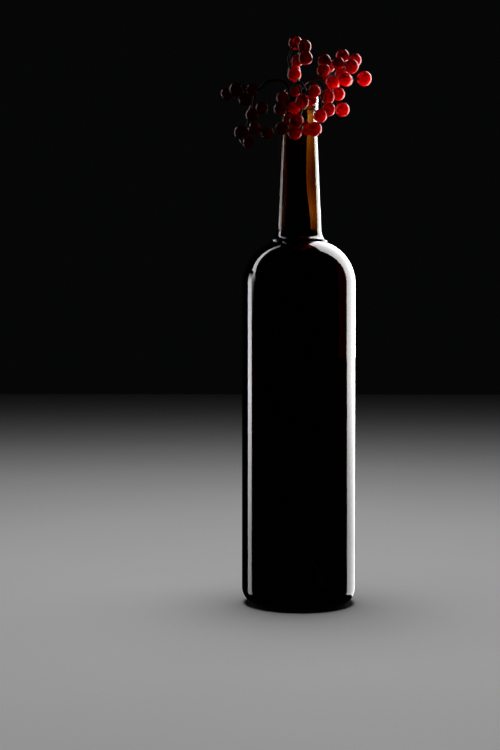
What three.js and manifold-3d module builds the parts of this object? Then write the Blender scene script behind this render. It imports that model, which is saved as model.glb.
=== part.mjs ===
// A tall wine bottle of dark amber glass, open at the top, with four sprigs of red
// berries standing in its mouth. Sizes are in millimetres and +Z is up. The origin
// is the centre of the foot, on the surface that the bottle stands on.

import * as THREE from "three";
import { mergeVertices } from "three/addons/utils/BufferGeometryUtils.js";
import Module from "manifold-3d";

const wasm = await Module();
wasm.setup();

// Sizes of the bottle
const bottleHeight = 338;
const bodyRadius = 37.5;
const bodyTop = 211; // height where the straight wall turns into the shoulder
const wall = 3.6;
const heelRounding = 10.5;
const shoulderRounding = 29.5;
const bottleSides = 40;
const facetDepth = 0.15; // how far a flat facet may lie inside the true arc
const bellSteps = 6;
const swellSteps = 5;

// Sizes of the foot, whose middle is pushed up inside
const puntRadius = 24.5;
const puntDepth = 32;
const floorThickness = 7;

// Sizes of the neck and of the flare that it stands on, which curls out to a small
// step on the shoulder
const neckFootRadius = 14.9;
const neckFootHeight = 247.7;
const neckTopRadius = 11.6;
const flareRounding = 14;
const flareTurn = 22.5; // degrees that the flare turns outwards
const curlRounding = 5;
const curlTurn = 70; // degrees that the outline has turned where it meets the step

// Sizes of the finish ring and of the bore
const ringRadius = 12.95;
const ringHeight = 13.5;
const ringRounding = 0.6;
const lipRounding = 1.8;
const boreRadius = 9.2;
const boreLipRounding = 1;
const boreSwellTop = 288; // below this height the bore grows wider
const boreSwellEnd = 244;
const boreFootRadius = 12;
const boreFootRounding = 5;

// Sizes of the sprigs
const stemRadius = 1.2;
const branchRadius = 0.8;
const stalkRadius = 0.6;
const stalkBow = 0.12; // how far a stalk bows upwards, as a share of its length
const stalkDepth = 0.5; // how near the berry's centre a stalk ends, as a share of its radius
const stemFaces = { sides: 6, steps: 12 };
const branchFaces = { sides: 4, steps: 3 };
const stalkFaces = { sides: 3, steps: 2 };
const berryDetail = 1;

// Each sprig has one stem, which starts inside the neck. Branches leave it, and at
// the end of each branch short stalks part, with one berry each. A point is
// [x, y, z], and a berry is [x, y, z, radius].
const sprigs = {
  sprig_right: {
    stem: [
      [-6.3, 3.8, 292], [-1.8, 0.6, 326], [1, -1.5, 338],
      [5, -1.2, 344.5], [15, 1, 347.5], [22, 9, 351.5],
    ],
    branches: [
      {
        route: [[22, 9, 351.5], [26, 12, 356], [31, 14, 359]],
        berries: [
          [29.4, 13, 365, 4.5],
          [38, 16, 362.7, 4.5],
          [35.5, 8, 356.6, 4.8],
          [26.4, 5, 358.1, 4.2],
          [28.6, 18, 354.9, 4.5],
          [30, 25, 362, 4.3],
        ],
      },
      {
        route: [[15, 1, 347.5], [18, 8, 352], [19, 12, 356]],
        berries: [
          [17.1, 4, 359.5, 4.5],
          [16.5, -3, 351.6, 4.6],
          [20.5, 22, 360, 4.3],
          [20, 15, 349.5, 4.4],
        ],
      },
      {
        route: [[22, 9, 351.5], [26, 13, 349.5], [30, 16, 346.5]],
        berries: [
          [44.5, 22, 351.5, 5.2],
          [30.9, 10, 348.5, 4.7],
          [32.6, 26, 351.4, 4.4],
          [23.5, 27, 349.2, 4.3],
        ],
      },
      {
        route: [[15, 1, 347.5], [18.5, 1, 341.5], [21.5, -0.5, 333]],
        berries: [
          [22.6, 5, 344.9, 4.7],
          [19, -8, 333.3, 4.8],
          [26.2, -2, 336.4, 4.5],
          [28.8, -6, 325.1, 4.7],
        ],
      },
      {
        route: [[7, -0.8, 345.5], [13, -9, 341.5], [15.5, -14.5, 331]],
        berries: [
          [19.6, -14, 323.8, 4.6],
          [14, -21, 318.3, 4.4],
        ],
      },
    ],
  },
  sprig_top: {
    stem: [[-0.8, 7.4, 292], [0.5, 7.2, 322], [-0.3, 5.8, 340], [-3.5, 4, 349], [-5.5, 4, 355]],
    branches: [
      {
        route: [[-3.5, 4, 349], [-5, 4.5, 353], [-5.5, 5, 356]],
        berries: [
          [-2.9, -2, 349.3, 4.6],
          [-3, 12, 355, 4.3],
        ],
      },
      {
        route: [[-5.5, 4, 355], [-6.6, 4, 362], [-4, 4, 368]],
        berries: [
          [-2.1, 9, 373, 4.7],
          [3.9, 2, 368.8, 4.7],
        ],
      },
      {
        route: [[-5.5, 4, 355], [-4, 7, 361], [-1, 8, 364.5]],
        berries: [
          [4.5, -4, 359.8, 4.8],
          [-0.8, 3, 359.7, 4.1],
          [3, 11, 364, 4.4],
        ],
      },
    ],
  },
  sprig_left: {
    stem: [
      [-7, -2.8, 292], [-6.4, -3.7, 325], [-6, -4.3, 337],
      [-9.8, -8, 343.2], [-20, -15, 342], [-28, -19.5, 333],
    ],
    branches: [
      {
        route: [[-28, -19.5, 333], [-32, -22.5, 336.5], [-36, -26, 337]],
        berries: [
          [-39.8, -33, 333.5, 4.5],
          [-46, -27, 331.7, 4.2],
          [-38, -20, 334, 4.3],
          [-34.2, -30, 327.6, 4.2],
          [-29.9, -25, 334.8, 4.2],
        ],
      },
      {
        route: [[-28, -19.5, 333], [-29.5, -19, 327], [-29, -19.5, 322]],
        berries: [
          [-28.5, -13.2, 324, 4.2],
          [-23.8, -21, 323.7, 4.2],
          [-30, -24, 318.6, 4.2],
        ],
      },
      {
        route: [[-29, -19.5, 322], [-32, -18.5, 317], [-33.5, -20, 311.5]],
        berries: [
          [-28.8, -17, 311.1, 4.3],
          [-36.8, -27, 307, 4.7],
          [-32.1, -23, 301.1, 4],
          [-34.5, -12.5, 305, 4.2],
          [-20.2, -19, 307.9, 4.3],
        ],
      },
    ],
  },
  sprig_front: {
    stem: [
      [0.3, -7.5, 292], [0, -7.4, 325], [0, -7.3, 337],
      [0, -11, 342.3], [-0.5, -16.5, 343], [-0.5, -21.5, 340.5],
    ],
    branches: [
      {
        route: [[-0.5, -21.5, 340.5], [2.5, -22, 338.5], [5, -22, 334.5]],
        berries: [
          [10.1, -26, 333.4, 4.2],
          [7.9, -19, 329, 4],
          [2.3, -26, 326.8, 4.5],
          [-2, -19, 335, 3.8],
        ],
      },
      {
        route: [[-0.5, -21.5, 340.5], [-5, -21, 335], [-7.5, -18.5, 328]],
        berries: [
          [-10.3, -16, 331.3, 4.3],
          [-11.8, -20, 323, 4.4],
          [-3, -20, 323.9, 4.3],
        ],
      },
      {
        route: [[-0.5, -21.5, 340.5], [2, -20.5, 331], [2, -20, 323], [0.5, -21, 317]],
        berries: [
          [10.3, -25, 309.1, 4.8],
          [6.2, -17, 310.7, 4.3],
          [-2.5, -21, 307.6, 4.7],
          [-1.4, -27, 314.3, 4.6],
          [-10.6, -24.5, 309.9, 4.5],
          [-6.5, -18, 316, 4.2],
        ],
      },
    ],
  },
};

const glass = new THREE.MeshStandardMaterial({ color: 0x2a1508, roughness: 0.05, metalness: 0 });
const berrySkin = new THREE.MeshStandardMaterial({ color: 0xa80f12, roughness: 0.25, metalness: 0 });

// Points of an arc about (x, z), in degrees from the outward direction
function arc(x, z, radius, fromDegrees, toDegrees) {
  const facetDegrees = 2 * THREE.MathUtils.radToDeg(Math.acos(1 - facetDepth / radius));
  const steps = Math.ceil(Math.abs(toDegrees - fromDegrees) / facetDegrees);
  const points = [];
  for (let i = 0; i <= steps; i += 1) {
    const angle = THREE.MathUtils.degToRad(THREE.MathUtils.lerp(fromDegrees, toDegrees, i / steps));
    points.push(new THREE.Vector2(x + radius * Math.cos(angle), z + radius * Math.sin(angle)));
  }
  return points;
}

// A bell from the axis out to a radius, level at both ends
function bell(radius, height, base) {
  const points = [];
  for (let i = 0; i <= bellSteps; i += 1) {
    const lift = height * (1 + Math.cos((Math.PI * i) / bellSteps)) / 2;
    points.push(new THREE.Vector2((radius * i) / bellSteps, base + lift));
  }
  return points;
}

// The neck's outline from the top of the step up over the curl and the flare
function neckFoot() {
  const flareX = neckFootRadius + flareRounding;
  const flare = arc(flareX, neckFootHeight, flareRounding, 180 + flareTurn, 180);
  const turn = THREE.MathUtils.degToRad(flareTurn);
  const curlX = flare[0].x + curlRounding * Math.cos(turn);
  const curlZ = flare[0].y + curlRounding * Math.sin(turn);
  const curl = arc(curlX, curlZ, curlRounding, 180 + curlTurn, 180 + flareTurn);
  return [...curl, ...flare.slice(1)];
}

// The finish ring and the lip, from the neck's top to the bore
function finish() {
  const ringFoot = bottleHeight - ringHeight;
  const ringX = ringRadius - ringRounding;
  const lipX = ringRadius - lipRounding;
  const boreX = boreRadius + boreLipRounding;
  return [
    new THREE.Vector2(neckTopRadius, ringFoot),
    ...arc(ringX, ringFoot + ringRounding, ringRounding, -90, 0),
    ...arc(lipX, bottleHeight - lipRounding, lipRounding, 0, 90),
    ...arc(boreX, bottleHeight - boreLipRounding, boreLipRounding, 90, 180),
  ];
}

// The hollow's outline, from the bore down to the middle of the floor
function hollow(shoulderX) {
  const swell = [];
  for (let i = 0; i <= swellSteps; i += 1) {
    const share = (1 - Math.cos((Math.PI * i) / swellSteps)) / 2;
    const height = THREE.MathUtils.lerp(boreSwellTop, boreSwellEnd, i / swellSteps);
    swell.push(new THREE.Vector2(THREE.MathUtils.lerp(boreRadius, boreFootRadius, share), height));
  }
  const domeRounding = shoulderRounding - wall;
  const cornerX = boreFootRadius + boreFootRounding;
  const cornerReach = domeRounding + boreFootRounding;
  const cornerZ = bodyTop + Math.sqrt(cornerReach ** 2 - (cornerX - shoulderX) ** 2);
  const domeAngle = THREE.MathUtils.radToDeg(Math.acos((cornerX - shoulderX) / cornerReach));
  const corner = arc(cornerX, cornerZ, boreFootRounding, 180, 180 + domeAngle);
  const dome = arc(shoulderX, bodyTop, domeRounding, domeAngle, 0);
  const innerHeel = heelRounding - wall / 2;
  const innerHeelX = bodyRadius - wall - innerHeel;
  const heel = arc(innerHeelX, floorThickness + innerHeel, innerHeel, 0, -90);
  const floor = bell(innerHeelX, puntDepth, floorThickness).reverse();
  return [...swell, ...corner, ...dome.slice(1), ...heel, ...floor.slice(1)];
}

// The whole outline of the glass, from the middle of the foot round to the floor
function bottleOutline() {
  const shoulderX = bodyRadius - shoulderRounding;
  const foot = neckFoot();
  const stepAngle = THREE.MathUtils.radToDeg(Math.acos((foot[0].x - shoulderX) / shoulderRounding));
  return [
    ...bell(puntRadius, puntDepth, 0),
    ...arc(bodyRadius - heelRounding, heelRounding, heelRounding, -90, 0),
    ...arc(shoulderX, bodyTop, shoulderRounding, 0, stepAngle),
    ...foot,
    ...finish(),
    ...hollow(shoulderX),
  ];
}

function bottle() {
  const geometry = new THREE.LatheGeometry(bottleOutline(), bottleSides);
  geometry.rotateX(Math.PI / 2);
  const mesh = new THREE.Mesh(geometry, glass);
  mesh.name = "bottle";
  return mesh;
}

// A closed mesh as a solid that can be joined to others
function solidFrom(geometry) {
  geometry.deleteAttribute("normal");
  geometry.deleteAttribute("uv");
  const merged = mergeVertices(geometry, 1e-4);
  return new wasm.Manifold(new wasm.Mesh({
    numProp: 3,
    vertProperties: merged.attributes.position.array,
    triVerts: new Uint32Array(merged.index.array),
  }));
}

function geometryFrom(solid) {
  const joined = solid.getMesh();
  const geometry = new THREE.BufferGeometry();
  geometry.setAttribute("position", new THREE.BufferAttribute(joined.vertProperties, 3));
  geometry.setIndex(new THREE.BufferAttribute(joined.triVerts, 1));
  geometry.computeVertexNormals();
  return geometry;
}

// A regular polygon stands for a twig's round section
function twigSection(radius, sides) {
  const corners = [];
  for (let i = 0; i < sides; i += 1) {
    const angle = (2 * Math.PI * i) / sides;
    corners.push(new THREE.Vector2(radius * Math.cos(angle), radius * Math.sin(angle)));
  }
  return new THREE.Shape(corners);
}

// A twig along a smooth curve through the points
function twig(points, radius, { sides, steps }) {
  const extrudePath = new THREE.CatmullRomCurve3(points);
  const settings = { extrudePath, steps, bevelEnabled: false };
  return solidFrom(new THREE.ExtrudeGeometry(twigSection(radius, sides), settings));
}

// The stalk from a fork to a berry bows upwards and ends inside the berry
function stalk(fork, centre, berryRadius) {
  const length = fork.distanceTo(centre);
  const end = centre.clone().lerp(fork, (stalkDepth * berryRadius) / length);
  const middle = fork.clone().lerp(end, 0.5);
  middle.z += stalkBow * length;
  return twig([fork, middle, end], stalkRadius, stalkFaces);
}

function berry(centre, radius) {
  const geometry = new THREE.IcosahedronGeometry(radius, berryDetail);
  geometry.translate(centre.x, centre.y, centre.z);
  return solidFrom(geometry);
}

function vectors(points) {
  return points.map(([x, y, z]) => new THREE.Vector3(x, y, z));
}

function sprig(name, { stem, branches }) {
  let solid = twig(vectors(stem), stemRadius, stemFaces);
  for (const { route, berries } of branches) {
    const path = vectors(route);
    const fork = path[path.length - 1];
    solid = solid.add(twig(path, branchRadius, branchFaces));
    for (const [x, y, z, radius] of berries) {
      const centre = new THREE.Vector3(x, y, z);
      solid = solid.add(stalk(fork, centre, radius)).add(berry(centre, radius));
    }
  }
  const mesh = new THREE.Mesh(geometryFrom(solid), berrySkin);
  mesh.name = name;
  return mesh;
}

const group = new THREE.Group();
group.add(bottle());
for (const [name, shape] of Object.entries(sprigs)) {
  group.add(sprig(name, shape));
}

export default group;
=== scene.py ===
# A tall wine bottle of dark amber glass with four sprigs of red berries in its mouth.
# The part's sizes are in millimetres, which MM turns into metres, and the studio's are
# in metres. The origin is the centre of the foot, +Z is up, and the viewer looks
# along +Y.

import math
import random

import bpy
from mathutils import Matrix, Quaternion, Vector, noise


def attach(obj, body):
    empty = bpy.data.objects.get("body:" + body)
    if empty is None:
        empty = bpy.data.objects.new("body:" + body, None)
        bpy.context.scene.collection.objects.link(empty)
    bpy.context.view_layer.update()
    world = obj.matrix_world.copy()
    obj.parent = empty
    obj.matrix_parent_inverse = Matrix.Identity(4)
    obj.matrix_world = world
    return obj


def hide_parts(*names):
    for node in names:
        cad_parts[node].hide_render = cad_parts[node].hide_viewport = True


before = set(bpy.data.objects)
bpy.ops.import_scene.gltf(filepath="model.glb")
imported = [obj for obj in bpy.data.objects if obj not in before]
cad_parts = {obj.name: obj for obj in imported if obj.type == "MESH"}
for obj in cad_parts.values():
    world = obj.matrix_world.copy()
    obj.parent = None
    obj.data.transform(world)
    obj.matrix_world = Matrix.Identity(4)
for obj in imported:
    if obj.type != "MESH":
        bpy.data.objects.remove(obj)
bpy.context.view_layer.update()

MM = 0.001

# Sizes of the bottle
BOTTLE_HEIGHT = 338 * MM
BODY_RADIUS = 37.5 * MM
BODY_TOP = 211 * MM
WALL = 3.6 * MM
HEEL_ROUNDING = 10.5 * MM
SHOULDER_ROUNDING = 29.5 * MM
BOTTLE_SIDES = 192
ARC_STEP = math.radians(3)
WALL_STEP = 6 * MM

# Sizes of the foot, whose middle is pushed up inside
PUNT_RADIUS = 24.5 * MM
PUNT_DEPTH = 32 * MM
FLOOR_THICKNESS = 7 * MM
BELL_STEPS = 24

# Sizes of the neck and of the flare that it stands on, which curls out to a small
# step on the shoulder
NECK_FOOT_RADIUS = 14.9 * MM
NECK_FOOT_HEIGHT = 247.7 * MM
NECK_TOP_RADIUS = 11.6 * MM
FLARE_ROUNDING = 14 * MM
FLARE_TURN = math.radians(22.5)
CURL_ROUNDING = 5 * MM
CURL_TURN = math.radians(70)

# Sizes of the finish ring and of the bore
RING_RADIUS = 12.95 * MM
RING_HEIGHT = 13.5 * MM
RING_ROUNDING = 0.6 * MM
LIP_ROUNDING = 1.8 * MM
BORE_RADIUS = 9.2 * MM
BORE_LIP_ROUNDING = 1 * MM
BORE_SWELL_TOP = 288 * MM
BORE_SWELL_END = 244 * MM
BORE_FOOT_RADIUS = 12 * MM
BORE_FOOT_ROUNDING = 5 * MM
SWELL_STEPS = 16

# The blown glass is very slightly wavy
GLASS_WAVE = 0.025 * MM
GLASS_WAVE_LENGTH = 30 * MM
GLASS_WAVE_SQUEEZE = 0.6  # the waves are longer up the bottle than round it
GLASS_CREASE = math.radians(50)  # edges sharper than this aren't shaded smooth

# Sizes of the sprigs
STEM_RADIUS = 1.2 * MM
STEM_TIP_RADIUS = 0.9 * MM
BRANCH_RADIUS = 0.8 * MM
BRANCH_TIP_RADIUS = 0.65 * MM
STALK_RADIUS = 0.42 * MM
STALK_END_RADIUS = 0.62 * MM
STALK_BOW = 0.12  # how far a stalk bows upwards, as a share of its length
STALK_DEPTH = 0.8  # how far from a berry's centre its stalk ends, as a share of its radius
TWIG_SIDES = 14
TWIG_STEP = 0.9 * MM
TWIG_VOXEL = 0.17 * MM
FORK_SOFTENING = 0.5
FORK_SOFTENING_STEPS = 5

# Shape of a berry, as shares of its radius. A dimple is its depth and its width, which
# is in radians.
BERRY_SIDES = 44
BERRY_RINGS = 28
BERRY_FLATTENING = 0.035
BERRY_LUMPS = 0.022
LUMP_FINENESS = 1.2
LUMP_SINK = 0.4  # keeps most lumps inside the berry's round form
LUMP_SPAN = 50  # each berry takes its lumps from a place of its own within this
STALK_DIMPLE = (0.12, 0.3)
CALYX_DIMPLE = (0.05, 0.2)

# Shape of the dry calyx, as shares of the berry's radius, and of its teeth, as shares
# of the calyx's radius and height. Jitter is a share of the step between two teeth.
CALYX_TEETH = 5
CALYX_RADIUS = 0.13
CALYX_HEIGHT = 0.13
CALYX_SINK = 0.05
TOOTH_FOOT = 0.3
TOOTH_HALF_WIDTH = 0.5
TOOTH_JITTER = 0.12
TOOTH_LEAN = (0.9, 1.5)
TOOTH_LENGTH = (1.3, 1.9)

# Places in a berry's list of materials
SKIN = 0
CALYX = 1

DARK_SPRIG = "sprig_left"
SEED = 7

# Each sprig has one stem, which starts inside the neck. Branches leave it, and at
# the end of each branch short stalks part, with one berry each. A point is
# (x, y, z) in millimetres, and a berry is (x, y, z, radius).
SPRIGS = {
    "sprig_right": {
        "stem": [
            (-6.3, 3.8, 292), (-1.8, 0.6, 326), (1, -1.5, 338),
            (5, -1.2, 344.5), (15, 1, 347.5), (22, 9, 351.5),
        ],
        "branches": [
            {
                "route": [(22, 9, 351.5), (26, 12, 356), (31, 14, 359)],
                "berries": [
                    (29.4, 13, 365, 4.5),
                    (38, 16, 362.7, 4.5),
                    (35.5, 8, 356.6, 4.8),
                    (26.4, 5, 358.1, 4.2),
                    (28.6, 18, 354.9, 4.5),
                    (30, 25, 362, 4.3),
                ],
            },
            {
                "route": [(15, 1, 347.5), (18, 8, 352), (19, 12, 356)],
                "berries": [
                    (17.1, 4, 359.5, 4.5),
                    (16.5, -3, 351.6, 4.6),
                    (20.5, 22, 360, 4.3),
                    (20, 15, 349.5, 4.4),
                ],
            },
            {
                "route": [(22, 9, 351.5), (26, 13, 349.5), (30, 16, 346.5)],
                "berries": [
                    (44.5, 22, 351.5, 5.2),
                    (30.9, 10, 348.5, 4.7),
                    (32.6, 26, 351.4, 4.4),
                    (23.5, 27, 349.2, 4.3),
                ],
            },
            {
                "route": [(15, 1, 347.5), (18.5, 1, 341.5), (21.5, -0.5, 333)],
                "berries": [
                    (22.6, 5, 344.9, 4.7),
                    (19, -8, 333.3, 4.8),
                    (26.2, -2, 336.4, 4.5),
                    (28.8, -6, 325.1, 4.7),
                ],
            },
            {
                "route": [(7, -0.8, 345.5), (13, -9, 341.5), (15.5, -14.5, 331)],
                "berries": [
                    (19.6, -14, 323.8, 4.6),
                    (14, -21, 318.3, 4.4),
                ],
            },
        ],
    },
    "sprig_top": {
        "stem": [
            (-0.8, 7.4, 292), (0.5, 7.2, 322), (-0.3, 5.8, 340), (-3.5, 4, 349), (-5.5, 4, 355),
        ],
        "branches": [
            {
                "route": [(-3.5, 4, 349), (-5, 4.5, 353), (-5.5, 5, 356)],
                "berries": [
                    (-2.9, -2, 349.3, 4.6),
                    (-3, 12, 355, 4.3),
                ],
            },
            {
                "route": [(-5.5, 4, 355), (-6.6, 4, 362), (-4, 4, 368)],
                "berries": [
                    (-2.1, 9, 373, 4.7),
                    (3.9, 2, 368.8, 4.7),
                ],
            },
            {
                "route": [(-5.5, 4, 355), (-4, 7, 361), (-1, 8, 364.5)],
                "berries": [
                    (4.5, -4, 359.8, 4.8),
                    (-0.8, 3, 359.7, 4.1),
                    (3, 11, 364, 4.4),
                ],
            },
        ],
    },
    "sprig_left": {
        "stem": [
            (-7, -2.8, 292), (-6.4, -3.7, 325), (-6, -4.3, 337),
            (-9.8, -8, 343.2), (-20, -15, 342), (-28, -19.5, 333),
        ],
        "branches": [
            {
                "route": [(-28, -19.5, 333), (-32, -22.5, 336.5), (-36, -26, 337)],
                "berries": [
                    (-39.8, -33, 333.5, 4.5),
                    (-46, -27, 331.7, 4.2),
                    (-38, -20, 334, 4.3),
                    (-34.2, -30, 327.6, 4.2),
                    (-29.9, -25, 334.8, 4.2),
                ],
            },
            {
                "route": [(-28, -19.5, 333), (-29.5, -19, 327), (-29, -19.5, 322)],
                "berries": [
                    (-28.5, -13.2, 324, 4.2),
                    (-23.8, -21, 323.7, 4.2),
                    (-30, -24, 318.6, 4.2),
                ],
            },
            {
                "route": [(-29, -19.5, 322), (-32, -18.5, 317), (-33.5, -20, 311.5)],
                "berries": [
                    (-28.8, -17, 311.1, 4.3),
                    (-36.8, -27, 307, 4.7),
                    (-32.1, -23, 301.1, 4),
                    (-34.5, -12.5, 305, 4.2),
                    (-20.2, -19, 307.9, 4.3),
                ],
            },
        ],
    },
    "sprig_front": {
        "stem": [
            (0.3, -7.5, 292), (0, -7.4, 325), (0, -7.3, 337),
            (0, -11, 342.3), (-0.5, -16.5, 343), (-0.5, -21.5, 340.5),
        ],
        "branches": [
            {
                "route": [(-0.5, -21.5, 340.5), (2.5, -22, 338.5), (5, -22, 334.5)],
                "berries": [
                    (10.1, -26, 333.4, 4.2),
                    (7.9, -19, 329, 4),
                    (2.3, -26, 326.8, 4.5),
                    (-2, -19, 335, 3.8),
                ],
            },
            {
                "route": [(-0.5, -21.5, 340.5), (-5, -21, 335), (-7.5, -18.5, 328)],
                "berries": [
                    (-10.3, -16, 331.3, 4.3),
                    (-11.8, -20, 323, 4.4),
                    (-3, -20, 323.9, 4.3),
                ],
            },
            {
                "route": [(-0.5, -21.5, 340.5), (2, -20.5, 331), (2, -20, 323), (0.5, -21, 317)],
                "berries": [
                    (10.3, -25, 309.1, 4.8),
                    (6.2, -17, 310.7, 4.3),
                    (-2.5, -21, 307.6, 4.7),
                    (-1.4, -27, 314.3, 4.6),
                    (-10.6, -24.5, 309.9, 4.5),
                    (-6.5, -18, 316, 4.2),
                ],
            },
        ],
    },
}


# Collections

def new_collection(name):
    collection = bpy.data.collections.new(name)
    bpy.context.scene.collection.children.link(collection)
    return collection


# Each light shines on one of these. The dark sprig is in all_sprigs alone.
glass_only = new_collection("glass_only")
all_sprigs = new_collection("all_sprigs")
bright_sprigs = new_collection("bright_sprigs")
floor_only = new_collection("floor_only")


# Camera

EYE = Vector((0, -836 * MM, 166.5 * MM))
EYE_TURN = math.radians(2.208)  # the bottle stands right of the picture's middle
EYE_SHIFT = -0.032  # the level line lies above the picture's middle
LENS = 60.48


def make_camera():
    camera = bpy.data.objects.new("camera", bpy.data.cameras.new("camera"))
    camera.data.lens = LENS
    camera.data.shift_y = EYE_SHIFT
    camera.location = EYE
    camera.rotation_euler = (math.radians(90), 0, EYE_TURN)
    bpy.context.scene.collection.objects.link(camera)
    bpy.context.scene.camera = camera


# Materials

def new_material(name):
    material = bpy.data.materials.new(name)
    material.use_nodes = True
    return material, material.node_tree.nodes, material.node_tree.links


def add_bump(nodes, links, shader, height, strength, distance):
    bump = nodes.new("ShaderNodeBump")
    bump.inputs["Strength"].default_value = strength
    bump.inputs["Distance"].default_value = distance
    links.new(height, bump.inputs["Height"])
    links.new(bump.outputs["Normal"], shader.inputs["Normal"])


def add_noise(nodes, links, scale, detail):
    place = nodes.new("ShaderNodeTexCoord")
    grain = nodes.new("ShaderNodeTexNoise")
    grain.inputs["Scale"].default_value = scale
    grain.inputs["Detail"].default_value = detail
    links.new(place.outputs["Object"], grain.inputs["Vector"])
    return grain


def add_range(nodes, links, source, low, high):
    spread = nodes.new("ShaderNodeMapRange")
    spread.inputs["To Min"].default_value = low
    spread.inputs["To Max"].default_value = high
    links.new(source, spread.inputs["Value"])
    return spread.outputs["Result"]


def add_ramp(nodes, links, source, stops):
    ramp = nodes.new("ShaderNodeValToRGB")
    elements = ramp.color_ramp.elements
    while len(elements) < len(stops):
        elements.new(0.5)
    for element, (position, color) in zip(elements, stops):
        element.position = position
        element.color = (*color, 1)
    links.new(source, ramp.inputs["Fac"])
    return ramp.outputs["Color"]


# Tints of the glass by height: painted shade that keeps the body near black, and painted light that
# lets the neck glow amber
BODY_GLASS_PAINTED_SHADE = (0.2, 0.1, 0.03)
NECK_GLASS_PAINTED_LIGHT = (1.0, 1.0, 0.8)
BODY_SHADE_TOP = 240 * MM
NECK_LIGHT_FOOT = 260 * MM


# Dark amber glass: light dies within a few millimetres of it, blue first. Its tint is
# painted by height, lighter at the neck and darker down the body: painted light on the
# neck and painted shade on the body, so the neck lets more through than the body.
def glass_material():
    material, nodes, links = new_material("dark_amber_glass")
    shader = nodes["Principled BSDF"]
    place = nodes.new("ShaderNodeTexCoord")
    split = nodes.new("ShaderNodeSeparateXYZ")
    links.new(place.outputs["Object"], split.inputs["Vector"])
    # The ramp blends the painted shade of the body into the painted light of the neck over the
    # shoulder
    stops = [(BODY_SHADE_TOP, BODY_GLASS_PAINTED_SHADE), (NECK_LIGHT_FOOT, NECK_GLASS_PAINTED_LIGHT)]
    links.new(add_ramp(nodes, links, split.outputs["Z"], stops), shader.inputs["Base Color"])
    shader.inputs["Transmission Weight"].default_value = 1.0
    shader.inputs["IOR"].default_value = 1.52
    film = add_noise(nodes, links, scale=60.0, detail=4.0)
    roughness = add_range(nodes, links, film.outputs["Fac"], low=0.0, high=0.02)
    links.new(roughness, shader.inputs["Roughness"])
    ripple = add_noise(nodes, links, scale=35.0, detail=1.0)
    add_bump(nodes, links, shader, ripple.outputs["Fac"], strength=0.05, distance=0.1 * MM)
    absorption = nodes.new("ShaderNodeVolumeAbsorption")
    absorption.inputs["Color"].default_value = (0.58, 0.4, 0.1, 1)
    absorption.inputs["Density"].default_value = 1150.0
    links.new(absorption.outputs["Volume"], nodes["Material Output"].inputs["Volume"])
    return material


BLOTCH_STRENGTH = 0.35


# Translucent red flesh under a smooth skin. Each berry has a ripeness of its own, to
# which the blotches add.
def berry_material():
    material, nodes, links = new_material("berry_skin")
    shader = nodes["Principled BSDF"]
    ripeness = nodes.new("ShaderNodeAttribute")
    ripeness.attribute_name = "ripeness"
    blotches = add_noise(nodes, links, scale=260.0, detail=3.0)
    mix = nodes.new("ShaderNodeMath")
    mix.operation = "MULTIPLY_ADD"
    mix.inputs[1].default_value = BLOTCH_STRENGTH
    links.new(blotches.outputs["Fac"], mix.inputs[0])
    links.new(ripeness.outputs["Fac"], mix.inputs[2])
    stops = [
        (0.1, (0.5, 0.002, 0.004)),
        (0.6, (0.75, 0.006, 0.006)),
        (1.0, (0.85, 0.012, 0.008)),
    ]
    color = add_ramp(nodes, links, mix.outputs["Value"], stops)
    links.new(color, shader.inputs["Base Color"])
    shader.inputs["Subsurface Weight"].default_value = 1.0
    shader.inputs["Subsurface Radius"].default_value = (1.0, 0.03, 0.025)
    shader.inputs["Subsurface Scale"].default_value = 24 * MM
    shader.inputs["Roughness"].default_value = 0.14
    shader.inputs["IOR"].default_value = 1.38
    pores = add_noise(nodes, links, scale=1400.0, detail=2.0)
    add_bump(nodes, links, shader, pores.outputs["Fac"], strength=0.12, distance=0.05 * MM)
    return material


# The dry brown remains of the flower at the berry's tip
def calyx_material():
    material, nodes, links = new_material("dry_calyx")
    shader = nodes["Principled BSDF"]
    grain = add_noise(nodes, links, scale=3000.0, detail=2.0)
    stops = [(0.3, (0.012, 0.006, 0.003)), (0.7, (0.06, 0.03, 0.012))]
    links.new(add_ramp(nodes, links, grain.outputs["Fac"], stops), shader.inputs["Base Color"])
    shader.inputs["Roughness"].default_value = 0.8
    return material


# Brown-green bark with fine long grain
def bark_material():
    material, nodes, links = new_material("twig_bark")
    shader = nodes["Principled BSDF"]
    patches = add_noise(nodes, links, scale=180.0, detail=4.0)
    stops = [
        (0.3, (0.025, 0.01, 0.006)),
        (0.5, (0.06, 0.022, 0.012)),
        (0.7, (0.1, 0.05, 0.02)),
    ]
    links.new(add_ramp(nodes, links, patches.outputs["Fac"], stops), shader.inputs["Base Color"])
    shader.inputs["Roughness"].default_value = 0.55
    grain = add_noise(nodes, links, scale=2200.0, detail=3.0)
    add_bump(nodes, links, shader, grain.outputs["Fac"], strength=0.4, distance=0.12 * MM)
    return material


def floor_material():
    material, nodes, links = new_material("pale_floor")
    shader = nodes["Principled BSDF"]
    mottle = add_noise(nodes, links, scale=3.0, detail=3.0)
    stops = [(0.3, (0.68, 0.68, 0.69)), (0.7, (0.72, 0.72, 0.72))]
    links.new(add_ramp(nodes, links, mottle.outputs["Fac"], stops), shader.inputs["Base Color"])
    shader.inputs["Roughness"].default_value = 0.7
    return material


# Studio

FLOOR_HALF = 4.0
FLOOR_LIGHT_SIZE = 0.7
FLOOR_LIGHT_PLACE = (0, 0.1, 1.3)
FLOOR_LIGHT_POWER = 9.0

# The softboxes stand far behind the part, each turned from straight behind by its
# facing, which is to the right where it is above zero
SOFTBOX_DISTANCE = 2.0
RIGHT_FACING = math.radians(40)
LEFT_FACING = math.radians(-62)
LEFT_HIGH_LEAN = math.radians(26.3)
RIGHT_RIM_FACING = math.radians(38)
LEFT_RIM_FACING = math.radians(-50)
COOL_TINT = (0.96, 0.96, 1.0)
WARM_TINT = (1.0, 0.72, 0.7)

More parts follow.
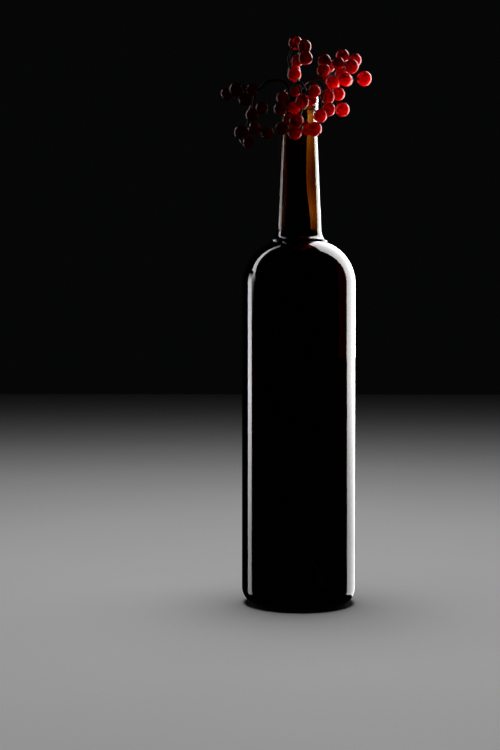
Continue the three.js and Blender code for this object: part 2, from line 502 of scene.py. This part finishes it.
# A near light behind the bunch on the right
SPRIG_GLOW_SIZE = 70 * MM
SPRIG_GLOW_RADIANCE = 2.6
SPRIG_GLOW_SPREAD = math.radians(60)
SPRIG_GLOW_PLACE = Vector((88 * MM, 58 * MM, 316 * MM))
SPRIG_GLOW_TARGET = Vector((32 * MM, 5 * MM, 342 * MM))


# The floor is seen by the camera, but throws no light on the part
def make_floor():
    corners = [(-FLOOR_HALF, -FLOOR_HALF), (FLOOR_HALF, -FLOOR_HALF)]
    corners += [(FLOOR_HALF, FLOOR_HALF), (-FLOOR_HALF, FLOOR_HALF)]
    mesh = bpy.data.meshes.new("floor")
    mesh.from_pydata([(x, y, 0) for x, y in corners], [], [(0, 1, 2, 3)])
    mesh.materials.append(floor_material())
    floor = bpy.data.objects.new("floor", mesh)
    floor.visible_diffuse = False
    floor.visible_glossy = False
    floor.visible_transmission = False
    floor_only.objects.link(floor)


# A light that the camera doesn't see, shining on one collection only
def place_light(name, data, location, rotation, lit):
    light = bpy.data.objects.new(name, data)
    light.location = location
    light.rotation_euler = rotation
    light.visible_camera = False
    light.light_linking.receiver_collection = lit
    bpy.context.scene.collection.objects.link(light)
    return light


# An evenly bright rectangle, whose energy follows from its radiance
def new_area(name, size, radiance):
    data = bpy.data.lights.new(name, "AREA")
    data.shape = "RECTANGLE"
    data.size, data.size_y = size
    data.energy = size[0] * size[1] * math.pi * radiance
    return data


# A softbox that faces the bottle's axis. middle is its centre's place to the side and
# its height, and lean turns its top to the side. glow lists heights on it and the
# radiance there.
def softbox(name, lit, facing, middle, size, glow, lean=0, tint=(1, 1, 1)):
    peak = max(radiance for height, radiance in glow)
    data = new_area(name, size, peak)
    data.color = tint
    foot = middle[1] - size[1] / 2
    add_glow(data, [((height - foot) / size[1], radiance / peak) for height, radiance in glow])
    outward = Vector((math.sin(facing), math.cos(facing), 0))
    along = Vector((math.cos(facing), -math.sin(facing), 0))
    location = outward * SOFTBOX_DISTANCE + along * middle[0] + Vector((0, 0, middle[1]))
    upright = outward.to_track_quat("Z", "Y")
    rotation = (upright @ Quaternion((0, 0, 1), lean)).to_euler()
    return place_light(name, data, location, rotation, lit)


# The light's strength at shares of its height
def add_glow(data, stops):
    data.use_nodes = True
    nodes, links = data.node_tree.nodes, data.node_tree.links
    place = nodes.new("ShaderNodeNewGeometry")
    split = nodes.new("ShaderNodeSeparateXYZ")
    links.new(place.outputs["Parametric"], split.inputs["Vector"])
    grey = [(share, (strength, strength, strength)) for share, strength in stops]
    links.new(add_ramp(nodes, links, split.outputs["Y"], grey), nodes["Emission"].inputs["Strength"])


# A low and a high softbox on each side give the bright lines down the glass
def light_glass():
    softbox(
        "right_low_softbox", glass_only, RIGHT_FACING, middle=(0.05, -0.275), size=(1.8, 0.85),
        glow=[(-0.7, 2.9), (-0.25, 2.9), (-0.08, 3.8), (0.1, 5.8), (0.15, 5.8)],
    )
    softbox(
        "right_high_softbox", glass_only, RIGHT_FACING, middle=(-0.1, 2.175), size=(2.2, 4.05),
        glow=[(0.15, 5.8), (0.8, 6.0), (2.2, 5.8), (4.2, 5.2)],
    )
    softbox(
        "left_softbox", glass_only, LEFT_FACING, middle=(-0.06, 0.1), size=(0.5, 1.6),
        glow=[
            (-0.7, 1.8), (-0.38, 2.1), (-0.24, 2.8), (-0.08, 4.4),
            (0.1, 6.8), (0.45, 5.0), (0.75, 0),
        ],
        tint=COOL_TINT,
    )
    softbox(
        "left_high_softbox", glass_only, LEFT_FACING, middle=(0.302, 2.08), size=(0.44, 4.0),
        glow=[(0.1, 0), (0.8, 5.6), (2.1, 4.8), (3.0, 2.6), (4.0, 1.0)],
        lean=LEFT_HIGH_LEAN, tint=COOL_TINT,
    )


# The near light makes the berries glow without a glint, and two softboxes give them
# thin bright rims and nothing else
def light_sprigs():
    data = new_area("sprig_glow", (SPRIG_GLOW_SIZE, SPRIG_GLOW_SIZE), SPRIG_GLOW_RADIANCE)
    data.spread = SPRIG_GLOW_SPREAD
    rotation = (SPRIG_GLOW_PLACE - SPRIG_GLOW_TARGET).to_track_quat("Z", "Y").to_euler()
    near = place_light("sprig_glow", data, SPRIG_GLOW_PLACE, rotation, bright_sprigs)
    near.visible_glossy = False
    right_rim = softbox(
        "right_rim", bright_sprigs, RIGHT_RIM_FACING, middle=(0, 0.8), size=(1.9, 2.8),
        glow=[(0, 5.0), (2, 5.0)], tint=WARM_TINT,
    )
    right_rim.visible_diffuse = False
    left_rim = softbox(
        "left_rim", all_sprigs, LEFT_RIM_FACING, middle=(0, 0.8), size=(1.1, 2.4),
        glow=[(0, 1.3), (2, 1.3)], tint=WARM_TINT,
    )
    left_rim.visible_diffuse = False


def light_floor():
    data = bpy.data.lights.new("floor_light", "AREA")
    data.shape = "DISK"
    data.size = FLOOR_LIGHT_SIZE
    data.energy = FLOOR_LIGHT_POWER
    place_light("floor_light", data, FLOOR_LIGHT_PLACE, (0, 0, 0), floor_only)


def make_world():
    world = bpy.data.worlds.new("studio")
    world.use_nodes = True
    background = world.node_tree.nodes["Background"]
    background.inputs["Color"].default_value = (0.9, 0.95, 1.0, 1)
    background.inputs["Strength"].default_value = 0.002
    bpy.context.scene.world = world
    bpy.context.scene.view_settings.view_transform = "Standard"


# Bottle

# Points of an arc about (x, z), between two angles from the outward direction
def arc(x, z, radius, start, end):
    steps = max(4, math.ceil(abs(end - start) / ARC_STEP))
    points = []
    for i in range(steps + 1):
        angle = start + (end - start) * i / steps
        points.append((x + radius * math.cos(angle), z + radius * math.sin(angle)))
    return points


# A bell from the axis out to a radius, level at both ends
def bell(radius, height, base):
    points = []
    for i in range(BELL_STEPS + 1):
        share = i / BELL_STEPS
        points.append((radius * share, base + height * (1 + math.cos(math.pi * share)) / 2))
    return points


# Points between the ends of a straight wall, about WALL_STEP apart
def straight(start, end):
    length = math.dist(start, end)
    steps = max(1, round(length / WALL_STEP))
    points = []
    for i in range(1, steps):
        share = i / steps
        points.append((
            start[0] + (end[0] - start[0]) * share,
            start[1] + (end[1] - start[1]) * share,
        ))
    return points


# The neck's outline from the top of the step up over the curl and the flare
def neck_foot():
    flare_x = NECK_FOOT_RADIUS + FLARE_ROUNDING
    flare = arc(flare_x, NECK_FOOT_HEIGHT, FLARE_ROUNDING, math.pi + FLARE_TURN, math.pi)
    curl_x = flare[0][0] + CURL_ROUNDING * math.cos(FLARE_TURN)
    curl_z = flare[0][1] + CURL_ROUNDING * math.sin(FLARE_TURN)
    curl = arc(curl_x, curl_z, CURL_ROUNDING, math.pi + CURL_TURN, math.pi + FLARE_TURN)
    return curl + flare[1:]


# The finish ring and the lip, from the neck's top to the bore
def finish():
    ring_foot = BOTTLE_HEIGHT - RING_HEIGHT
    ring_x = RING_RADIUS - RING_ROUNDING
    lip_x = RING_RADIUS - LIP_ROUNDING
    bore_x = BORE_RADIUS + BORE_LIP_ROUNDING
    quarter = math.pi / 2
    points = [(NECK_TOP_RADIUS, ring_foot)]
    points += arc(ring_x, ring_foot + RING_ROUNDING, RING_ROUNDING, -quarter, 0)
    points += arc(lip_x, BOTTLE_HEIGHT - LIP_ROUNDING, LIP_ROUNDING, 0, quarter)
    points += arc(bore_x, BOTTLE_HEIGHT - BORE_LIP_ROUNDING, BORE_LIP_ROUNDING, quarter, math.pi)
    return points


# The hollow's outline, from the bore down to the middle of the floor
def hollow(shoulder_x):
    swell = []
    for i in range(SWELL_STEPS + 1):
        share = (1 - math.cos(math.pi * i / SWELL_STEPS)) / 2
        height = BORE_SWELL_TOP + (BORE_SWELL_END - BORE_SWELL_TOP) * i / SWELL_STEPS
        swell.append((BORE_RADIUS + (BORE_FOOT_RADIUS - BORE_RADIUS) * share, height))
    dome_rounding = SHOULDER_ROUNDING - WALL
    corner_x = BORE_FOOT_RADIUS + BORE_FOOT_ROUNDING
    corner_reach = dome_rounding + BORE_FOOT_ROUNDING
    corner_z = BODY_TOP + math.sqrt(corner_reach ** 2 - (corner_x - shoulder_x) ** 2)
    dome_angle = math.acos((corner_x - shoulder_x) / corner_reach)
    corner = arc(corner_x, corner_z, BORE_FOOT_ROUNDING, math.pi, math.pi + dome_angle)
    dome = arc(shoulder_x, BODY_TOP, dome_rounding, dome_angle, 0)
    inner_heel = HEEL_ROUNDING - WALL / 2
    inner_heel_x = BODY_RADIUS - WALL - inner_heel
    heel = arc(inner_heel_x, FLOOR_THICKNESS + inner_heel, inner_heel, 0, -math.pi / 2)
    floor = bell(inner_heel_x, PUNT_DEPTH, FLOOR_THICKNESS)[::-1]
    return swell + corner + dome[1:] + straight(dome[-1], heel[0]) + heel + floor[1:]


# The whole outline of the glass, from the middle of the foot round to the floor
def bottle_outline():
    shoulder_x = BODY_RADIUS - SHOULDER_ROUNDING
    heel = arc(BODY_RADIUS - HEEL_ROUNDING, HEEL_ROUNDING, HEEL_ROUNDING, -math.pi / 2, 0)
    foot = neck_foot()
    step_angle = math.acos((foot[0][0] - shoulder_x) / SHOULDER_ROUNDING)
    shoulder = arc(shoulder_x, BODY_TOP, SHOULDER_ROUNDING, 0, step_angle)
    top = finish()
    points = bell(PUNT_RADIUS, PUNT_DEPTH, 0) + heel
    points += straight(heel[-1], shoulder[0]) + shoulder + foot
    points += straight(foot[-1], top[0]) + top
    points += hollow(shoulder_x)
    return points


# How far the glass stands off its true form at a point
def glass_wave(x, y, z):
    return GLASS_WAVE * noise.noise(Vector((x, y, z * GLASS_WAVE_SQUEEZE)) / GLASS_WAVE_LENGTH)


# One ring of the glass, with its slight waves
def ring_points(radius, height):
    points = []
    for i in range(BOTTLE_SIDES):
        angle = 2 * math.pi * i / BOTTLE_SIDES
        x, y = radius * math.cos(angle), radius * math.sin(angle)
        swell = 1 + glass_wave(x, y, height) / radius
        points.append((x * swell, y * swell, height))
    return points


# A closed body of rings round the axis, from an outline whose ends lie on the axis
def lathe(outline):
    rings = outline[1:-1]
    vertices = [(0, 0, outline[0][1])]
    for radius, height in rings:
        vertices += ring_points(radius, height)
    vertices.append((0, 0, outline[-1][1]))
    faces = []
    last = len(vertices) - 1
    for i in range(BOTTLE_SIDES):
        j = (i + 1) % BOTTLE_SIDES
        faces.append((0, 1 + j, 1 + i))
        for k in range(len(rings) - 1):
            low = 1 + k * BOTTLE_SIDES
            high = low + BOTTLE_SIDES
            faces.append((low + i, low + j, high + j, high + i))
        top = 1 + (len(rings) - 1) * BOTTLE_SIDES
        faces.append((top + i, top + j, last))
    return vertices, faces


def add_piece(name, vertices, faces, materials):
    mesh = bpy.data.meshes.new(name)
    mesh.from_pydata(vertices, [], faces)
    for material in materials:
        mesh.materials.append(material)
    mesh.shade_smooth()
    piece = bpy.data.objects.new(name, mesh)
    bpy.context.scene.collection.objects.link(piece)
    return piece


def make_bottle():
    vertices, faces = lathe(bottle_outline())
    bottle = add_piece("bottle_glass", vertices, faces, [glass_material()])
    glass_only.objects.link(bottle)
    bottle.data.set_sharp_from_angle(angle=GLASS_CREASE)
    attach(bottle, "root")
    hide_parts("bottle")


# Sprigs

# A centripetal spline through the points, sampled about TWIG_STEP apart
def smooth_route(points):
    points = [Vector(point) for point in points]
    padded = [2 * points[0] - points[1], *points, 2 * points[-1] - points[-2]]
    samples = [points[0]]
    for p0, p1, p2, p3 in zip(padded, padded[1:], padded[2:], padded[3:]):
        d0, d1, d2 = (math.sqrt((b - a).length) for a, b in ((p0, p1), (p1, p2), (p2, p3)))
        leave = ((p1 - p0) / d0 - (p2 - p0) / (d0 + d1) + (p2 - p1) / d1) * d1
        arrive = ((p2 - p1) / d1 - (p3 - p1) / (d1 + d2) + (p3 - p2) / d2) * d1
        steps = max(2, round((p2 - p1).length / TWIG_STEP))
        for i in range(1, steps + 1):
            t = i / steps
            samples.append(
                (2 * t ** 3 - 3 * t ** 2 + 1) * p1 + (t ** 3 - 2 * t ** 2 + t) * leave
                + (3 * t ** 2 - 2 * t ** 3) * p2 + (t ** 3 - t ** 2) * arrive
            )
    return samples


# A closed tube along a route. width gives its radius at a share of its length.
def add_tube(vertices, faces, route, width):
    first = len(vertices)
    side = (route[1] - route[0]).orthogonal().normalized()
    for k, point in enumerate(route):
        before = route[max(k - 1, 0)]
        after = route[min(k + 1, len(route) - 1)]
        along = (after - before).normalized()
        side = (side - along * side.dot(along)).normalized()
        other = along.cross(side)
        radius = width(k / (len(route) - 1))
        for i in range(TWIG_SIDES):
            angle = 2 * math.pi * i / TWIG_SIDES
            vertices.append(point + radius * (math.cos(angle) * side + math.sin(angle) * other))
    for k in range(len(route) - 1):
        low = first + k * TWIG_SIDES
        high = low + TWIG_SIDES
        for i in range(TWIG_SIDES):
            j = (i + 1) % TWIG_SIDES
            faces.append((low + i, low + j, high + j, high + i))
    faces.append(tuple(range(first, first + TWIG_SIDES))[::-1])
    faces.append(tuple(range(len(vertices) - TWIG_SIDES, len(vertices))))


# The stalk from a fork to a berry bows upwards and ends in the berry's dimple
def stalk_route(fork, centre, radius):
    length = (centre - fork).length
    end = centre.lerp(fork, STALK_DEPTH * radius / length)
    middle = fork.lerp(end, 0.5)
    middle.z += STALK_BOW * length
    return [fork, middle, end]


def stem_width(share):
    return STEM_RADIUS + (STEM_TIP_RADIUS - STEM_RADIUS) * share


def branch_width(share):
    return BRANCH_RADIUS + (BRANCH_TIP_RADIUS - BRANCH_RADIUS) * share


# Thick where it leaves the fork and where it holds the berry, thin between
def stalk_width(share):
    ends = abs(2 * share - 1) ** 3
    return STALK_RADIUS + (STALK_END_RADIUS - STALK_RADIUS) * ends


def vector_in_metres(point):
    return Vector(point[:3]) * MM


# One skin out of the overlapping tubes, with soft forks
def fuse_twigs(piece):
    remesh = piece.modifiers.new("fuse", "REMESH")
    remesh.mode = "VOXEL"
    remesh.voxel_size = TWIG_VOXEL
    soften = piece.modifiers.new("soften", "SMOOTH")
    soften.factor = FORK_SOFTENING
    soften.iterations = FORK_SOFTENING_STEPS
    graph = bpy.context.evaluated_depsgraph_get()
    fused = bpy.data.meshes.new_from_object(piece.evaluated_get(graph))
    piece.modifiers.clear()
    piece.data = fused
    fused.shade_smooth()


def make_twigs(name, sprig, bark):
    vertices = []
    faces = []
    stem = smooth_route([vector_in_metres(point) for point in sprig["stem"]])
    add_tube(vertices, faces, stem, stem_width)
    for branch in sprig["branches"]:
        route = [vector_in_metres(point) for point in branch["route"]]
        add_tube(vertices, faces, smooth_route(route), branch_width)
        for berry in branch["berries"]:
            stalk = stalk_route(route[-1], vector_in_metres(berry), berry[3] * MM)
            add_tube(vertices, faces, smooth_route(stalk), stalk_width)
    twigs = add_piece(name.replace("sprig", "twigs"), vertices, faces, [bark])
    fuse_twigs(twigs)
    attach(twigs, "root")
    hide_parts(name)
    return twigs


# The distance from a berry's centre to its skin in a direction, whose polar angle
# is counted from the stalk
def skin_radius(radius, direction, polar, lumps_at):
    flattening = 1 - BERRY_FLATTENING * math.cos(polar) ** 2
    stalk_dimple = STALK_DIMPLE[0] * math.exp(-(polar / STALK_DIMPLE[1]) ** 2)
    calyx_dimple = CALYX_DIMPLE[0] * math.exp(-((math.pi - polar) / CALYX_DIMPLE[1]) ** 2)
    lumps = BERRY_LUMPS * (noise.noise(direction * LUMP_FINENESS + lumps_at) - LUMP_SINK)
    return radius * (flattening - stalk_dimple - calyx_dimple + lumps)


# The directions from a berry's centre to its skin with their polar angles, ring by
# ring from the stalk's pole to the calyx's
def skin_directions():
    directions = [(Vector((0, 0, 1)), 0)]
    for k in range(1, BERRY_RINGS):
        polar = math.pi * k / BERRY_RINGS
        for i in range(BERRY_SIDES):
            angle = 2 * math.pi * i / BERRY_SIDES
            direction = Vector((
                math.sin(polar) * math.cos(angle),
                math.sin(polar) * math.sin(angle),
                math.cos(polar),
            ))
            directions.append((direction, polar))
    directions.append((Vector((0, 0, -1)), math.pi))
    return directions


# The faces of a ball whose points run from its first pole to its last
def ball_faces(first, last):
    faces = []
    for i in range(BERRY_SIDES):
        j = (i + 1) % BERRY_SIDES
        faces.append((first, first + 1 + i, first + 1 + j))
        for k in range(BERRY_RINGS - 2):
            low = first + 1 + k * BERRY_SIDES
            high = low + BERRY_SIDES
            faces.append((low + i, high + i, high + j, low + j))
        top = last - BERRY_SIDES
        faces.append((top + i, last, top + j))
    return faces


def add_berry(vertices, faces, kinds, centre, radius, axis, draw):
    first = len(vertices)
    turn = axis.to_track_quat("-Z", "Y").to_matrix()
    lumps_at = Vector([draw.uniform(-LUMP_SPAN, LUMP_SPAN) for _ in range(3)])
    for direction, polar in skin_directions():
        reach = skin_radius(radius, direction, polar, lumps_at)
        vertices.append(centre + turn @ (direction * reach))
    faces += ball_faces(first, len(vertices) - 1)
    kinds += [SKIN] * (len(faces) - len(kinds))
    add_calyx(vertices, faces, centre, radius, turn, draw)
    kinds += [CALYX] * (len(faces) - len(kinds))


# A ring of dry teeth at the tip away from the stalk
def add_calyx(vertices, faces, centre, radius, turn, draw):
    down = Vector((0, 0, -1))
    root = down * radius * (1 - BERRY_FLATTENING - CALYX_DIMPLE[0] - CALYX_SINK)
    wide = radius * CALYX_RADIUS
    tall = radius * CALYX_HEIGHT
    for i in range(CALYX_TEETH):
        angle = 2 * math.pi * (i + draw.uniform(-TOOTH_JITTER, TOOTH_JITTER)) / CALYX_TEETH
        lean = draw.uniform(*TOOTH_LEAN)
        out = Vector((math.cos(angle), math.sin(angle), 0))
        side = Vector((-math.sin(angle), math.cos(angle), 0))
        foot = root + out * wide * TOOTH_FOOT
        half_width = side * wide * TOOTH_HALF_WIDTH
        corners = [
            foot - half_width,
            foot + half_width,
            root + out * wide,
            root + out * wide * lean + down * tall * draw.uniform(*TOOTH_LENGTH),
        ]
        n = len(vertices)
        vertices += [centre + turn @ corner for corner in corners]
        faces += [(n, n + 1, n + 2), (n, n + 3, n + 1), (n + 1, n + 3, n + 2), (n + 2, n + 3, n)]


def make_berries(name, sprig, materials, draw):
    vertices = []
    faces = []
    kinds = []
    ripeness = []
    for branch in sprig["branches"]:
        fork = vector_in_metres(branch["route"][-1])
        for berry in branch["berries"]:
            centre = vector_in_metres(berry)
            radius = berry[3] * MM
            route = stalk_route(fork, centre, radius)
            axis = (centre - route[1]).normalized()
            add_berry(vertices, faces, kinds, centre, radius, axis, draw)
            ripeness += [draw.uniform(0, 1)] * (len(vertices) - len(ripeness))
    berries = add_piece(name.replace("sprig", "berries"), vertices, faces, materials)
    berries.data.polygons.foreach_set("material_index", kinds)
    attribute = berries.data.attributes.new("ripeness", "FLOAT", "POINT")
    attribute.data.foreach_set("value", ripeness)
    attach(berries, "root")
    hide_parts(name)
    return berries


def make_sprigs():
    skin = [berry_material(), calyx_material()]
    bark = bark_material()
    draw = random.Random(SEED)
    for name, sprig in SPRIGS.items():
        pieces = (make_twigs(name, sprig, bark), make_berries(name, sprig, skin, draw))
        for piece in pieces:
            all_sprigs.objects.link(piece)
            if name != DARK_SPRIG:
                bright_sprigs.objects.link(piece)


make_camera()
make_world()
make_floor()
light_glass()
light_sprigs()
light_floor()
make_bottle()
make_sprigs()
